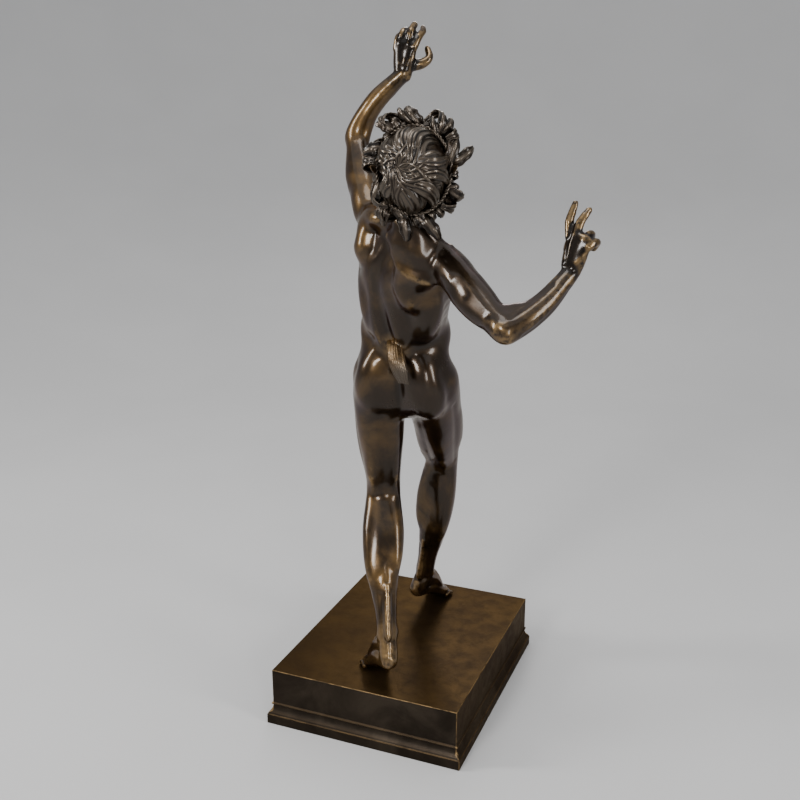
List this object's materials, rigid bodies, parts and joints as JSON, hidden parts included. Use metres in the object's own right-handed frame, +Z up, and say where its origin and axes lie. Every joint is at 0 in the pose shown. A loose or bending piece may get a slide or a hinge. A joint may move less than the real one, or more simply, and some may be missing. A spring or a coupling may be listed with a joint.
{
  "type": "bronze faun statue",
  "caption": "Dancing faun on raised heels with a leaf wreath, a short tail and raised hands, cast in dark bronze on a rectangular plinth with a moulded foot.",
  "frame": {"origin": "centre of the plinth's flat underside", "axes": "+Z up through the figure, the figure faces -Y and its left side is +X"},
  "size_m": [0.3584, 0.3685, 0.7776],
  "materials": {
    "figure_bronze": "dark brown patina, glossy wax, worn to gold at the high points",
    "plinth_bronze": "dark brown patina, satin wax, bright worn arrises"
  },
  "bodies": {
    "root": {"faun": "figure_bronze", "plinth": "plinth_bronze"}
  },
  "joints": []
}
